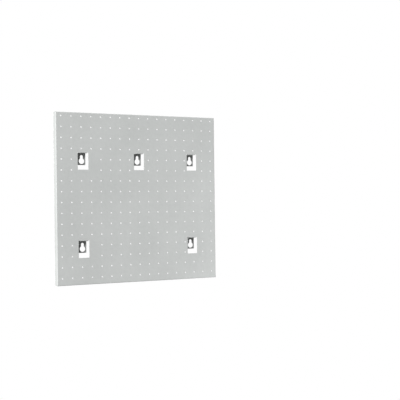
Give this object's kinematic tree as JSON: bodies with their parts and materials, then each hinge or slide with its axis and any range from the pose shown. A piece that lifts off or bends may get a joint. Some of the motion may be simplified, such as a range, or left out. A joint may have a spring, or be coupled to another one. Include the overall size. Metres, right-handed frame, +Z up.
{
  "type": "pegboard tool wall",
  "caption": "Light grey sheet-steel pegboard tray with a square grid of peg holes, hung on wall screws by keyhole hangers behind windows in its face.",
  "frame": {"origin": "centre of the tray's outline, in the wall plane that its hangers and rear edges lie in", "axes": "+X to the right and +Z up as seen from the front, +Y into the wall, so the face looks along -Y"},
  "size_m": [0.425, 0.0135, 0.4],
  "materials": {
    "painted_steel": "satin light grey powder coat with a faint orange-peel texture"
  },
  "bodies": {
    "root": {"face_sheet": "painted_steel", "left_return": "painted_steel", "right_return": "painted_steel", "top_return": "painted_steel", "bottom_return": "painted_steel", "hanger_top_left": "painted_steel", "hanger_top_centre": "painted_steel", "hanger_top_right": "painted_steel", "hanger_bottom_left": "painted_steel", "hanger_bottom_right": "painted_steel"}
  },
  "joints": []
}
